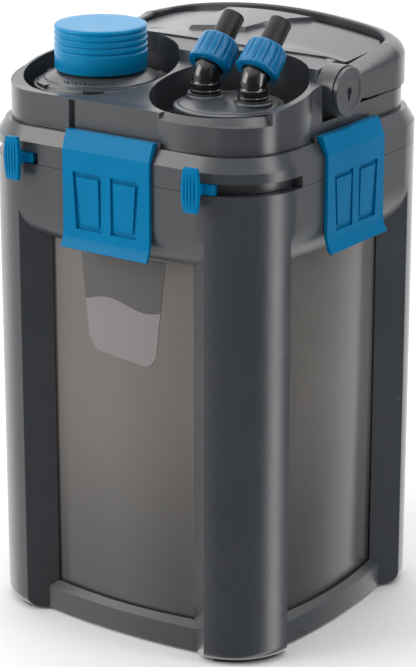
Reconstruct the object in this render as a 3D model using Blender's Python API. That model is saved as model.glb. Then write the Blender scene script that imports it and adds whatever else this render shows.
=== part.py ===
"""Canister filter for an aquarium: square smoked container with dark corner posts, a head that is
clamped on by four clips, a prefilter under a round knob, a hose unit with two elbows, and a pump.

Lengths in this file are millimetres and become metres when a mesh is made. +Z is up, -Y is the front.
The origin is at the bottom centre of the whole object's box.
"""
import math

import bmesh
import bpy
from mathutils import Matrix, Vector

MM = 0.001
GAP = 0.3                       # clearance between neighbouring solids

# plan of the container and head
HALF_X = 122.0
HALF_Y = 119.25
CORNER_R = 50.0

# window recess between the corner posts
RECESS = 16.5
FRONT_LIP = 79.8                # half width between the post lips, front and rear
FRONT_EDGE = 58.7               # half width of the window itself
SIDE_LIP = 77.1
SIDE_EDGE = 56.0
BOW = 5.0                       # how far each window bulges outward in its middle
TANK_HALF = (HALF_X - RECESS, HALF_Y - RECESS)
TANK_R = TANK_HALF[0] - FRONT_EDGE
RAIL_IN = 10.5                  # the base rail's face behind the post face

# heights
FRAME_Z0 = 2.0
RAIL_Z = 19.0
WINDOW_Z0 = 25.0
WINDOW_Z1 = 287.0
COLLAR_FACE_Z = 315.0
COLLAR_TOP = 341.6
TANK_Z0 = 4.0
TANK_TOP = 337.0
TANK_WALL = 3.0
RIM_Z0 = COLLAR_TOP + GAP
RIM_BREAK = 357.0
RIM_TOP = 366.5
RIM_INSET = 6.0
RIM_WALL = 12.5
FLOOR_TOP = 346.2
COVER_Z0 = RIM_TOP + GAP
COVER_INSET = 10.0
COVER_WALL = 3.5
LEDGE_Z = 381.5                 # top of the step that the handle's arms rest over
LEDGE_INSET = 25.5
REAR_WALL_TOP = 401.0

# the two wells in the head
KNOB_AT = (-57.0, -50.0)
HOSE_AT = (54.5, -53.0)
KNOB_WELL_R = 55.0
HOSE_WELL_R = 54.6
KNOB_RING_R = 57.2
HOSE_RING_R = 59.6
WELL_FLOOR = 375.0
WELL_FLOOR_T = 3.5
WELL_WALL = 3.2
PREFILTER_HOLE_R = 37.0

# knob and prefilter
KNOB_R = 32.9
KNOB_Z0 = 399.0
KNOB_Z1 = 430.5
CAGE_R = 33.5
CAGE_Z0 = 30.0
CAGE_Z1 = 376.5

# hose unit
PORT_DX = 19.5
PORT_BORE = 8.3
ELBOW_R = 9.5
ELBOW_BORE = 6.5
BEND_R = 10.0
BEND_Z = 403.1
BEND_ANGLE = math.radians(45)
NUT_S = (1.0, 22.7)
TAIL_S = (8.4, 44.2)
TAIL_R = 8.0
TAIL_BORE = 6.2
COLLAR_R = 10.6                 # collar at the foot of each elbow
COLLAR_Z = 394.3, 401.0

# carrying handle
HANDLE_AXIS = (-5.0, 396.0)     # y, z
HANDLE_INSET = 8.0
HANDLE_WIDTH = 15.0
HUB_R = 18.0
HUB_X = (104.4, 118.0)
HANDLE_Y0 = 16.2                # front end of the arms, which must swing past the deck edge

# clips
CLIP_HALF = 36.75
CLIP_REACH = 7.0                # finger edge, outward from the face
CLIP_AXIS = (-6.9, 368.3)       # outward from the face, height
BARREL_R = 2.1
PIN_R = 0.8

# release levers slide round the front corners
LEVER_R = 43.5, 49.5
LEVER_SPAN = 11.0
LEVER_REST = -86.6
LEVER_PLATE_R = 57.5, 61.5
LEVER_PLATE_Z = 331.5, 362.0
GROOVE_SPAN = -102.7, 6.0

# pump
PUMP_AT = (20.0, 48.0)

# trays
TRAYS = 4
TRAY_Z0 = 12.0
TRAY_PITCH = 68.0
TRAY_H = 66.0
TRAY_HALF = (97.0, 94.0)
TRAY_R = 40.0
NOTCH_R = 38.0

ROUND = 32                      # sides of a plain cylinder
SHIFT_Y = (LEVER_PLATE_R[1] - CORNER_R - CLIP_REACH) / 2    # centres the whole box on the origin

COLOURS = {
    "charcoal": ((0.085, 0.09, 0.10, 1), 0.38, 0),
    "smoked": ((0.10, 0.085, 0.075, 1), 0.12, 0),
    "blue": ((0.0, 0.17, 0.42, 1), 0.3, 0),
    "black": ((0.012, 0.012, 0.013, 1), 0.3, 0),
    "rubber": ((0.015, 0.015, 0.015, 1), 0.8, 0),
    "tray": ((0.35, 0.12, 0.02, 1), 0.4, 0),
    "foam": ((0.03, 0.10, 0.30, 1), 0.95, 0),
    "steel": ((0.55, 0.55, 0.55, 1), 0.25, 1),
    "ceramic": ((0.8, 0.8, 0.78, 1), 0.3, 0),
    "magnet": ((0.03, 0.03, 0.03, 1), 0.5, 0.3),
}


# ---------------------------------------------------------------- helpers

def clear_scene():
    for obj in list(bpy.data.objects):
        bpy.data.objects.remove(obj, do_unlink=True)


def material(name):
    found = bpy.data.materials.get(name)
    if found:
        return found
    colour, roughness, metallic = COLOURS[name]
    made = bpy.data.materials.new(name)
    made.use_nodes = True
    shader = made.node_tree.nodes["Principled BSDF"]
    shader.inputs["Base Color"].default_value = colour
    shader.inputs["Roughness"].default_value = roughness
    shader.inputs["Metallic"].default_value = metallic
    return made


def solid(name, points, faces, finish="charcoal"):
    """One closed mesh object from millimetre points, its faces turned outward."""
    mesh = bpy.data.meshes.new(name)
    mesh.from_pydata([Vector(p) * MM for p in points], [], faces)
    mesh.materials.append(material(finish))
    bm = bmesh.new()
    bm.from_mesh(mesh)
    bmesh.ops.recalc_face_normals(bm, faces=bm.faces)
    bm.to_mesh(mesh)
    bm.free()
    obj = bpy.data.objects.new(name, mesh)
    bpy.context.scene.collection.objects.link(obj)
    return obj


def loft(name, rows, finish="charcoal", ring=False):
    """Skin between closed loops of equal length. With ring, the last row joins the first."""
    count = len(rows[0])
    points = [p for row in rows for p in row]
    faces = []
    for r in range(len(rows) - (0 if ring else 1)):
        a, b = r * count, ((r + 1) % len(rows)) * count
        faces += [(a + i, a + (i + 1) % count, b + (i + 1) % count, b + i) for i in range(count)]
    if not ring:
        faces.append(tuple(range(count))[::-1])
        faces.append(tuple((len(rows) - 1) * count + i for i in range(count)))
    return solid(name, points, faces, finish)


def arc(cx, cy, r, a0, a1, steps):
    return [(cx + r * math.cos(math.radians(a0 + (a1 - a0) * k / steps)),
             cy + r * math.sin(math.radians(a0 + (a1 - a0) * k / steps))) for k in range(steps + 1)]


def outline(inset=0.0, bow=0.0, half=(HALF_X, HALF_Y), radius=CORNER_R, steps=5, side_steps=4):
    """Rounded rectangle, counter-clockwise from the front left; each side may bulge by bow."""
    hx, hy, r = half[0] - inset, half[1] - inset, max(radius - inset, 1.0)
    fx, fy = hx - r, hy - r
    loop = []
    parts = side_steps if bow else 1
    for turn, (along, out) in enumerate(((fx, hy), (fy, hx), (fx, hy), (fy, hx))):
        for k in range(parts):
            s = -1 + 2 * k / parts
            loop.append(turned_point(s * along, -(out + bow * (1 - s * s)), turn))
        corner = arc(along, -(out - r), r, -90, 0, steps)[:steps]
        loop += [turned_point(x, y, turn) for x, y in corner]
    return loop


def turned_point(x, y, turn):
    """A plan point turned by quarter turns about the centre."""
    for _ in range(turn):
        x, y = -y, x
    return (x, y)


def at(loop, z):
    return [(x, y, z) for x, y in loop]


def circle(cx, cy, r, steps=ROUND):
    return arc(cx, cy, r, 0, 360, steps)[:-1]


def column(name, loop, z0, z1, finish="charcoal"):
    return loft(name, [at(loop, z0), at(loop, z1)], finish)


def cylinder(name, centre, r, z0, z1, steps=ROUND, finish="charcoal"):
    return column(name, circle(*centre, r, steps), z0, z1, finish)


def lathe(name, centre, profile, finish="charcoal", steps=ROUND, ring=False):
    """Turned solid: profile is (radius, height) pairs; open profiles are capped at both ends."""
    rows = [at(circle(*centre, r, steps), z) for r, z in profile]
    return loft(name, rows, finish, ring)


def box(name, x, y, z, finish="charcoal"):
    return column(name, [(x[0], y[0]), (x[1], y[0]), (x[1], y[1]), (x[0], y[1])], *z, finish)


def along_x(name, profile, x0, x1, finish="charcoal"):
    """A (y, z) outline extruded along X."""
    return loft(name, [[(x, y, z) for y, z in profile] for x in (x0, x1)], finish)


def x_cylinder(name, r, y, z, x0, x1, steps=20, finish="charcoal"):
    return along_x(name, arc(y, z, r, 0, 360, steps)[:-1], x0, x1, finish)


def combine(target, tool, operation="DIFFERENCE"):
    """Apply one exact Boolean and drop the tool."""
    cut = target.modifiers.new("cut", "BOOLEAN")
    cut.operation = operation
    cut.solver = "EXACT"
    cut.object = tool
    graph = bpy.context.evaluated_depsgraph_get()
    mesh = bpy.data.meshes.new_from_object(target.evaluated_get(graph))
    target.modifiers.clear()
    target.data = mesh
    bpy.data.objects.remove(tool, do_unlink=True)
    return target


def quarter_turn(obj, turns):
    obj.data.transform(Matrix.Rotation(math.radians(90 * turns), 4, "Z"))
    return obj


def mirror_x(obj):
    obj.data.transform(Matrix.Scale(-1, 4, (1, 0, 0)))
    obj.data.flip_normals()
    return obj


def pivot(obj, x, y, z):
    """Put the object's origin on its joint's axis without moving its shape."""
    place = Vector((x, y, z)) * MM
    obj.data.transform(Matrix.Translation(-place))
    obj.location = place
    return obj


# ---------------------------------------------------------------- container

def window_cutter(turn):
    """What is missing between two posts: above the rail, in front of the window, under the collar."""
    front = turn % 2 == 0
    face = HALF_Y if front else HALF_X
    lip, edge = (FRONT_LIP, FRONT_EDGE) if front else (SIDE_LIP, SIDE_EDGE)
    slope = (lip - edge) / RECESS
    window = face - RECESS
    levels = [(-1, face - RAIL_IN, BOW), (RAIL_Z, face - RAIL_IN, BOW),
              (WINDOW_Z0, window - 0.35, BOW), (WINDOW_Z1, window - 0.35, BOW)]
    for k in range(1, 7):
        turn_in = math.radians(90 - 15 * k)
        depth = window + RECESS * math.cos(turn_in)
        height = COLLAR_FACE_Z - (COLLAR_FACE_Z - WINDOW_Z1) * math.sin(turn_in)
        levels.append((height, depth + (GAP if k == 6 else 0), BOW * (1 - math.cos(turn_in))))
    rows = []
    for z, depth, bow in levels:
        half = edge + (depth - window) * slope
        outer = edge + (face + 6 - window) * slope
        row = [(-outer, -face - 6), (outer, -face - 6)]
        for k in range(9):
            s = 1 - k / 4
            row.append((s * half, -(depth + bow * (1 - s * s))))
        rows.append([(*turned_point(x, y, turn), z) for x, y in row])
    return loft("window_cutter", rows)


def tank_outline(inset=0.0):
    return outline(inset, BOW, TANK_HALF, TANK_R)


def make_tank():
    rows = [at(tank_outline(1.5), TANK_Z0), at(tank_outline(), TANK_Z0 + 2), at(tank_outline(), TANK_TOP),
            at(tank_outline(TANK_WALL), TANK_TOP), at(tank_outline(TANK_WALL), TANK_Z0 + TANK_WALL)]
    return loft("container_tank", rows, "smoked")


def post_pocket(sx, sy):
    """Hollow inside a corner post, open at the bottom."""
    outer = arc(HALF_X - CORNER_R, -(HALF_Y - CORNER_R), CORNER_R - 3.5, -80, -10, 7)
    inner = arc(FRONT_EDGE, -SIDE_EDGE, TANK_R + 3.8, -20, -70, 5)
    loop = [(sx * x, -sy * y) for x, y in outer + inner]
    return column("post_pocket", loop, FRAME_Z0 - 5, 275)


def make_frame():
    """Corner posts, base rails and collar in one moulding round the tank."""
    outer = [(FRAME_Z0, 3.5), (FRAME_Z0 + 2, 1.2), (FRAME_Z0 + 6, 0), (COLLAR_TOP, 0)]
    rows = [at(outline(inset), z) for z, inset in outer]
    frame = loft("container_frame", rows)
    combine(frame, column("bore", tank_outline(-GAP), -5, COLLAR_TOP + 5))
    for turn in range(4):
        combine(frame, window_cutter(turn))
    for sx, sy in ((1, 1), (1, -1), (-1, 1), (-1, -1)):
        combine(frame, post_pocket(sx, sy))
    return frame


def make_foot(name, sx, sy):
    outer = arc(HALF_X - CORNER_R, -(HALF_Y - CORNER_R), CORNER_R - 6, -76, -14, 7)
    inner = arc(FRONT_EDGE, -SIDE_EDGE, TANK_R + 2.5, -20, -70, 5)
    loop = [(sx * x, -sy * y) for x, y in outer + inner]
    return column(name, loop, 0, FRAME_Z0 - GAP, "rubber")


def notch_cutter(r, z0, z1):
    """Room for the prefilter in the front left corner of a tray."""
    x, y = KNOB_AT
    cutter = cylinder("notch", KNOB_AT, r, z0, z1, 32)
    combine(cutter, box("notch_side", (-150, x + 0.01), (-150, y + r), (z0, z1)), "UNION")
    combine(cutter, box("notch_front", (-150, x + r), (-150, y + 0.01), (z0, z1)), "UNION")
    return cutter


def make_tray(index):
    z0 = TRAY_Z0 + TRAY_PITCH * index
    z1 = z0 + TRAY_H
    tray = column(f"filter_tray_{index + 1}", outline(0, 0, TRAY_HALF, TRAY_R, 5), z0, z1, "tray")
    combine(tray, notch_cutter(NOTCH_R, z0 - 1, z1 + 1))
    inside = column("inside", outline(2, 0, TRAY_HALF, TRAY_R, 5), z0 + 2.5, z1 + 5)
    combine(inside, notch_cutter(NOTCH_R + 2, z0 - 1, z1 + 9))
    combine(tray, inside)
    for x in (10, 34, 58):
        combine(tray, box("slot", (x, x + 12), (-70, 70), (z0 - 2, z0 + 5)))
    for x in (-66, -42, -18):
        combine(tray, box("slot", (x, x + 12), (4, 70), (z0 - 2, z0 + 5)))
    return tray


def make_foam(index):
    z0 = TRAY_Z0 + TRAY_PITCH * index + 3
    foam = column(f"filter_foam_{index + 1}", outline(3, 0, TRAY_HALF, TRAY_R, 5), z0, z0 + 56, "foam")
    return combine(foam, notch_cutter(NOTCH_R + 3, z0 - 1, z0 + 60))


# ---------------------------------------------------------------- head

def ring_sector(name, radii, span, z, centre, steps=10):
    loop = arc(*centre, radii[1], *span, steps) + arc(*centre, radii[0], span[1], span[0], steps)
    return column(name, loop, *z)


def corner_centre(side):
    return (side * (HALF_X - CORNER_R), -(HALF_Y - CORNER_R))


def side_face(turn):
    return HALF_Y if turn % 2 == 0 else HALF_X


def pin_cutter(turn, r, half, name="pin_cutter", finish="charcoal", steps=12):
    out, z = CLIP_AXIS
    rod = x_cylinder(name, r, -(side_face(turn) + out), z, -half, half, steps, finish)
    return quarter_turn(rod, turn)


def clip_seat(turn):
    """Trough in the rim's ledge that clears the clip's barrel."""
    y = -(side_face(turn) + CLIP_AXIS[0])
    return quarter_turn(box("seat", (-CLIP_HALF - 0.5, CLIP_HALF + 0.5), (y - 2.5, y + 2.45),
                            (RIM_TOP - 1, RIM_TOP + 2)), turn)


def clip_lug(turn, side):
    y = -(side_face(turn) + CLIP_AXIS[0])
    x = sorted((side * (CLIP_HALF + 0.5), side * (CLIP_HALF + 3.5)))
    return quarter_turn(box("lug", x, (y - 1.6, y + 1.15), (RIM_TOP - 2, CLIP_AXIS[1] + 2)), turn)


def make_head_base():
    """Closed floor of the head with its outer rim, made as one cup."""
    rows = [(RIM_Z0, 0), (RIM_BREAK, 0), (RIM_TOP, RIM_INSET), (RIM_TOP, RIM_WALL), (FLOOR_TOP, RIM_WALL)]
    base = loft("head_base", [at(outline(inset), z) for z, inset in rows])
    combine(base, cylinder("prefilter_hole", KNOB_AT, PREFILTER_HOLE_R, 330, 360))
    combine(base, cylinder("pump_hole", PUMP_AT, 12, 330, 360, 24))
    for side in (-1, 1):
        span = GROOVE_SPAN if side > 0 else (180 - GROOVE_SPAN[1], 180 - GROOVE_SPAN[0])
        combine(base, ring_sector("groove", (42.5, 70), span, (330, 350.2), corner_centre(side), 12))
    for turn in range(4):
        combine(base, clip_seat(turn))
        for side in (-1, 1):
            combine(base, clip_lug(turn, side), "UNION")
        combine(base, pin_cutter(turn, PIN_R + 0.1, CLIP_HALF + 9))
    return base


def make_head_seal():
    section = ((0.8, TANK_TOP + GAP), (0.8, RIM_Z0 - GAP), (3.0, RIM_Z0 - GAP), (3.0, TANK_TOP + GAP))
    return loft("head_seal", [at(tank_outline(inset), z) for inset, z in section], "rubber", ring=True)


DECK = [(-130, 360), (-130, 389), (-100, 391), (-27, 403.5), (-21, 404), (-18, 411.5), (4.2, 414.5)]


def deck_block(drop=0.0, rear_z=REAR_WALL_TOP):
    """Everything below the deck surface, seen from the side."""
    profile = [(y, z - drop) for y, z in DECK[1:]]
    return along_x("deck", [(-130, 340)] + profile + [(4.2, rear_z), (130, rear_z), (130, 340)], -140, 140)


def handle_room():
    """Space above the ledge round the rear half, where the handle's arms lie."""
    room = column("room", outline(-15), LEDGE_Z, 440)
    combine(room, column("core", outline(LEDGE_INSET), LEDGE_Z - 5, 450))
    combine(room, box("front", (-150, 150), (-150, 14), (LEDGE_Z - 9, 460)))
    return room


def hub_room(side):
    x = sorted((side * (HUB_X[0] - 0.4), side * 140))
    return box("hub_room", x, (-25, 14.5), (377, 440))


def well(centre, r, z0, z1, name="well"):
    return cylinder(name, centre, r, z0, z1)


def make_head_cover():
    cover = column("head_cover", outline(COVER_INSET), COVER_Z0, 430)
    combine(cover, well(KNOB_AT, KNOB_RING_R, COVER_Z0, 430), "UNION")
    combine(cover, well(HOSE_AT, HOSE_RING_R, COVER_Z0, 430), "UNION")
    combine(cover, deck_block(), "INTERSECT")
    combine(cover, handle_room())
    for side in (-1, 1):
        combine(cover, hub_room(side))
    combine(cover, cover_hollow())
    combine(cover, well(KNOB_AT, KNOB_WELL_R, WELL_FLOOR, 440))
    combine(cover, well(HOSE_AT, HOSE_WELL_R, WELL_FLOOR, 440))
    combine(cover, cylinder("prefilter_hole", KNOB_AT, PREFILTER_HOLE_R, 360, 380))
    for side in (-1, 1):
        port = (HOSE_AT[0] + side * PORT_DX, HOSE_AT[1])
        combine(cover, cylinder("port_hole", port, 9.0, 360, 380, 16))
        bolt = sorted((side * (HUB_X[0] - 8), side * (HUB_X[0] + 8)))
        combine(cover, x_cylinder("bolt_hole", 4.4, *HANDLE_AXIS, *bolt))
    combine(cover, y_cylinder("gland_hole", 6.3, -60, 374.3, 95, 125))
    return cover


def cover_hollow():
    """Space under the deck, round the wells and behind them, open below and above the pump."""
    hollow = column("hollow", outline(COVER_INSET + COVER_WALL), 350, LEDGE_Z - COVER_WALL)
    combine(hollow, column("upper", outline(LEDGE_INSET + COVER_WALL), 370, 440), "UNION")
    roof = deck_block(drop=COVER_WALL, rear_z=450)
    combine(hollow, roof, "INTERSECT")
    combine(hollow, box("front_wall", (-150, 150), (0.7, 7.7), (LEDGE_Z + 8, 460)))
    for centre, r in ((KNOB_AT, KNOB_WELL_R), (HOSE_AT, HOSE_WELL_R)):
        combine(hollow, well(centre, r + WELL_WALL, WELL_FLOOR - WELL_FLOOR_T, 460))
    for side in (-1, 1):
        x = sorted((side * (HUB_X[0] - 0.4 - COVER_WALL), side * 150))
        combine(hollow, box("hub_wall", x, (-29, 18), (373, 460)))
    return hollow


def y_cylinder(name, r, x, z, y0, y1, steps=24, finish="charcoal"):
    ring = arc(x, z, r, 0, 360, steps)[:-1]
    return loft(name, [[(u, y, v) for u, v in ring] for y in (y0, y1)], finish)


def make_cable_gland():
    gland = y_cylinder("cable_gland", 6.0, -60, 374.3, 103.5, 116.5, finish="rubber")
    combine(gland, y_cylinder("flange", 7.4, -60, 374.3, HALF_Y - COVER_INSET + GAP, 112.4), "UNION")
    return combine(gland, y_cylinder("bore", 3.4, -60, 374.3, 90, 130, 16))


def dome_z(x, y):
    """Top of the rear cover: highest in the middle at the rear, falling to the sides and the
    rear edge, which the handle's bar passes."""
    side = min(max((y - 5) / 25, 0), 1)
    return 421 - 5 * (90 - y) / 80 - 10 * side * (x / 95) ** 2 - 0.35 * max(y - 86, 0)


def dome_block(drop=0.0):
    rows = []
    xs = [-105 + 17.5 * k for k in range(13)]
    for y in (-6, 2, 11, 20, 31, 50, 71, 86, 103):
        rows.append([(x, y, dome_z(x, y) - drop) for x in xs] + [(105, y, 380), (-105, y, 380)])
    dome = loft("dome", rows)
    bm = bmesh.new()
    bm.from_mesh(dome.data)
    bmesh.ops.triangulate(bm, faces=bm.faces)
    bm.to_mesh(dome.data)
    bm.free()
    return dome


def make_motor_cover():
    cover = column("motor_cover", outline(LEDGE_INSET + 0.5), REAR_WALL_TOP + GAP, 440)
    combine(cover, box("front", (-150, 150), (-150, 4.5), (390, 450)))
    combine(cover, dome_block(), "INTERSECT")
    inside = column("inside", outline(LEDGE_INSET + 3.5), 390, 440)
    combine(inside, box("front", (-150, 150), (-150, 7.5), (380, 450)))
    combine(inside, dome_block(3.0), "INTERSECT")
    return combine(cover, inside)


# ---------------------------------------------------------------- clips, levers, handle

def clip_profile(face):
    """Section of a clip: barrel, top plate, chamfer, long face and flared finger edge."""
    out, z = CLIP_AXIS
    barrel = arc(-(face + out), z, BARREL_R, 90, -60, 6)
    outer = [(CLIP_REACH, 289.0), (5.0, 292.5), (3.0, 300.0), (3.0, 358.0), (-2.0, z + BARREL_R)]
    inner = [(-5.35, RIM_TOP + GAP), (0.3, 357.4), (0.3, 301.0), (2.6, 292.0), (5.4, 288.2)]
    return [(-(face + o), h) for o, h in outer] + barrel + [(-(face + o), h) for o, h in inner]


def make_clip(name, turn):
    face = side_face(turn)
    clip = along_x(name, clip_profile(face), -CLIP_HALF, CLIP_HALF, "blue")
    combine(clip, box("recess", (-27, 27), (-face - 9, -face - 1.9), (302, 343)))
    for x in ((-24.5, -5), (5, 24.5)):
        combine(clip, box("pad", x, (-face - 2.7, -face - 1.6), (306, 331)), "UNION")
    quarter_turn(clip, turn)
    combine(clip, pin_cutter(turn, PIN_R + 0.1, CLIP_HALF + 9))
    x, y = turned_point(0, -(face + CLIP_AXIS[0]), turn)
    return pivot(clip, x, y, CLIP_AXIS[1])


def make_clip_pin(name, turn):
    return pin_cutter(turn, PIN_R, CLIP_HALF + 3.4, name, "steel", 10)


def make_lever(name, side):
    """Arc slider in the rim's groove, a neck, and an upright thumb plate outside."""
    centre = corner_centre(1)
    span = (LEVER_REST - LEVER_SPAN, LEVER_REST + LEVER_SPAN + 3)
    z = (RIM_Z0 + 0.2, 349.6)
    lever = ring_sector(name, LEVER_R, span, z, centre, 6)
    lever.data.materials[0] = material("blue")
    neck = ring_sector("neck", (LEVER_R[1] - 3, LEVER_PLATE_R[0] + 1),
                       (LEVER_REST - 4, LEVER_REST + 4), z, centre, 2)
    combine(lever, neck, "UNION")
    plate = ring_sector("plate", LEVER_PLATE_R, (LEVER_REST - 6.2, LEVER_REST + 6.2),
                        LEVER_PLATE_Z, centre, 4)
    combine(lever, plate, "UNION")
    if side < 0:
        mirror_x(lever)
    return pivot(lever, *corner_centre(side), (z[0] + z[1]) / 2)


def make_handle():
    """Folding bail: two arms, a rear bar and two hubs."""
    profile = [(HANDLE_Y0, 386), (32, 384), (86, 384), (115, 392), (115, 419.9), (HANDLE_Y0, 404.3)]
    handle = column("carry_handle", outline(HANDLE_INSET), 370, 440)
    combine(handle, column("inside", outline(HANDLE_INSET + HANDLE_WIDTH), 360, 450))
    combine(handle, along_x("profile", profile, -140, 140), "INTERSECT")
    for side in (-1, 1):
        x = sorted((side * HUB_X[0], side * HUB_X[1]))
        combine(handle, x_cylinder("hub", HUB_R, *HANDLE_AXIS, *x, 28), "UNION")
        arm = sorted((side * HUB_X[0], side * (HALF_X - HANDLE_INSET)))
        web = [(-5, 390), (20, 385.3), (20, 404.8), (-5, 410)]
        combine(handle, along_x("web", web, *arm), "UNION")
    for side in (-1, 1):
        x = sorted((side * 95, side * 130))
        combine(handle, x_cylinder("bore", 4.4, *HANDLE_AXIS, *x))
    return pivot(handle, 0, *HANDLE_AXIS)


def make_pivot_bolt(name, side):
    """Flat round bolt head outside the hub, with its shank through hub and head wall."""
    head = sorted((side * (HUB_X[1] + GAP), side * 121.6))
    shank = sorted((side * 99.2, side * 120))
    bolt = x_cylinder(name, 17.0, *HANDLE_AXIS, *head, 28)
    combine(bolt, x_cylinder("shank", 4.1, *HANDLE_AXIS, *shank), "UNION")
    slot = sorted((side * 119.5, side * 130))
    return combine(bolt, x_cylinder("socket", 4.0, *HANDLE_AXIS, *slot, 6))


# ---------------------------------------------------------------- prefilter

def make_knob():
    profile = [(30.0, KNOB_Z0), (KNOB_R, KNOB_Z0)]
    for z in (412.0, 416.5, 421.0, 425.5):
        profile += [(KNOB_R, z), (KNOB_R - 1.2, z + 0.8), (KNOB_R - 1.2, z + 1.8), (KNOB_R, z + 2.6)]
    profile += [(KNOB_R, KNOB_Z1 - 1.6), (KNOB_R - 1.6, KNOB_Z1), (0.6, KNOB_Z1), (0.6, 426.5), (30.0, 426.5)]
    knob = lathe("prefilter_knob", KNOB_AT, profile, "blue", 28, ring=True)
    return pivot(close_axis(knob, KNOB_Z1, 426.5), *KNOB_AT, KNOB_Z0)


def close_axis(obj, z1, z0):
    """Fill the small hole left on the axis of a turned solid."""
    return combine(obj, cylinder("plug", KNOB_AT, 2, z0, z1, 28), "UNION")


def make_prefilter_flange():
    profile = [(34.3, 381.5), (34.3, 377.0), (36.3, 377.0), (36.3, 383.0), (48.0, 384.5), (48.0, 390.8),
               (46.5, 391.6), (36.0, 396.5), (29.0, 398.3), (28.6, 420.0), (26.0, 420.0), (26.0, 397.0),
               (34.3, 392.5)]
    return lathe("prefilter_flange", KNOB_AT, profile, "black", 28, ring=True)


def make_prefilter_cage():
    rows = [(CAGE_R, CAGE_Z0), (CAGE_R, CAGE_Z1), (CAGE_R - 2, CAGE_Z1), (CAGE_R - 2, CAGE_Z0 + 2)]
    cage = lathe("prefilter_cage", KNOB_AT, rows, "black", 24)
    for k in range(3):
        for z in (50, 130, 210):
            slot = box("slot", (-60, 60), (-7, 7), (z, z + 60))
            slot.data.transform(Matrix.Rotation(math.radians(60 * k), 4, "Z"))
            slot.data.transform(Matrix.Translation(Vector((*KNOB_AT, 0)) * MM))
            combine(cage, slot)
    return cage


def make_prefilter_foam():
    rows = [(30.5, 34), (30.5, 330), (14, 330), (14, 34)]
    return lathe("prefilter_foam", KNOB_AT, rows, "foam", 24, ring=True)


def o_ring(name, centre, r, section, z, steps=24):
    ring = [(r + section * math.cos(math.radians(a)), z + section * math.sin(math.radians(a)))
            for a in range(0, 360, 60)]
    return lathe(name, centre, ring, "rubber", steps, ring=True)


# ---------------------------------------------------------------- hose unit

def port_at(side):
    return (HOSE_AT[0] + side * PORT_DX, HOSE_AT[1])


def make_hose_plate():
    profile = [(40.0, WELL_FLOOR + GAP), (40.0, 377.5), (38.5, 379.5), (38.5, 387.2), (37.4, 388.5),
               (31.0, 390.3), (15.0, 392.0), (3.0, 392.4)]
    plate = lathe("hose_unit_plate", HOSE_AT, profile, "black", 28)
    for side in (-1, 1):
        combine(plate, cylinder("boss", port_at(side), 12.5, 380, 394, 16), "UNION")
    for side in (-1, 1):
        combine(plate, cylinder("bore", port_at(side), PORT_BORE, 360, 400, 16))
    return plate


def bend_frames(spans):
    """Centre, up and tilt of the elbow's path at each station: straight, bend, straight."""
    stations = []
    for s in spans:
        if s <= 0:
            stations.append((Vector((0, 0, BEND_Z + s)), 0.0))
        elif s <= BEND_R * BEND_ANGLE:
            a = s / BEND_R
            stations.append((Vector((0, BEND_R * (1 - math.cos(a)), BEND_Z + BEND_R * math.sin(a))), a))
        else:
            a = BEND_ANGLE
            end = Vector((0, BEND_R * (1 - math.cos(a)), BEND_Z + BEND_R * math.sin(a)))
            run = s - BEND_R * a
            stations.append((end + run * Vector((0, math.sin(a), math.cos(a))), a))
    return stations


def tube_rows(centre, stations, steps):
    """Rings of a swept tube; each station is (path length, radius)."""
    rows = []
    for (place, tilt), (_, r) in zip(bend_frames([s for s, _ in stations]), stations):
        across, back = Vector((1, 0, 0)), Vector((0, math.cos(tilt), -math.sin(tilt)))
        rows.append([Vector((*centre, 0)) + place + r * (math.cos(t) * across + math.sin(t) * back)
                     for t in (2 * math.pi * k / steps for k in range(steps))])
    return rows


ARC_LENGTH = BEND_R * BEND_ANGLE


def make_elbow(name, side):
    bends = [ARC_LENGTH * k / 4 for k in range(5)]
    z0, z1 = (z - BEND_Z for z in COLLAR_Z)
    outer = [(382 - BEND_Z, 8.0), (z0, 8.0), (z0, COLLAR_R), (z1, COLLAR_R), (z1, ELBOW_R)]
    outer += [(s, ELBOW_R) for s in bends] + [(ARC_LENGTH + 8, ELBOW_R)]
    inner = [(ARC_LENGTH + 8, ELBOW_BORE)] + [(s, ELBOW_BORE) for s in bends[::-1]]
    inner += [(382 - BEND_Z, ELBOW_BORE)]
    elbow = loft(name, tube_rows(port_at(side), outer + inner, 16), "black", ring=True)
    return pivot(elbow, *port_at(side), COLLAR_Z[0])


def make_tail(name, side):
    s0, s1 = (ARC_LENGTH + s for s in TAIL_S)
    rows = tube_rows(port_at(side), [(s0, TAIL_R), (s1, TAIL_R), (s1, TAIL_BORE), (s0, TAIL_BORE)], 16)
    return loft(name, rows, "black", ring=True)


def nut_axis(side):
    """Start point of the union nut's axis, on the elbow's outlet."""
    place, _ = bend_frames([ARC_LENGTH + NUT_S[0]])[0]
    return Vector((*port_at(side), 0)) + place


def make_union_nut(name, side):
    """Ribbed nut: a thread skirt over the elbow's end and a lip round the hose tail."""
    length = NUT_S[1] - NUT_S[0]
    ribs = 14
    lip = length - 2.5
    profile = [(14.8, 0), (15.6, 1.0), (14.8, length - 1.2), (13.6, length), (8.9, length), (8.9, lip),
               (10.4, lip), (10.4, 0)]
    rows = []
    for r, z in profile:
        row = []
        for k in range(2 * ribs):
            t = math.pi * k / ribs
            rib = -0.7 if k % 2 and r > 14 else 0.0
            row.append(((r + rib) * math.cos(t), (r + rib) * math.sin(t), z))
        rows.append(row)
    nut = loft(name, rows, "blue", ring=True)
    nut.data.transform(Matrix.Rotation(-BEND_ANGLE, 4, "X"))
    nut.location = nut_axis(side) * MM
    return nut


def make_retainer(name, side):
    """Open spring ring that holds the elbow down, with two turned-up ears."""
    x, y = port_at(side)
    loop = arc(x, y, 13.8, -50, 230, 16) + arc(x, y, COLLAR_R + GAP, 230, -50, 16)
    ring = column(name, loop, 395.6, 397.6, "black")
    for sign in (-1, 1):
        centre = (x + sign * 12.6, y - 3)
        combine(ring, cylinder("ear", centre, 1.6, 396.2, 400.6, 10), "UNION")
    return ring


# ---------------------------------------------------------------- pump

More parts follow.
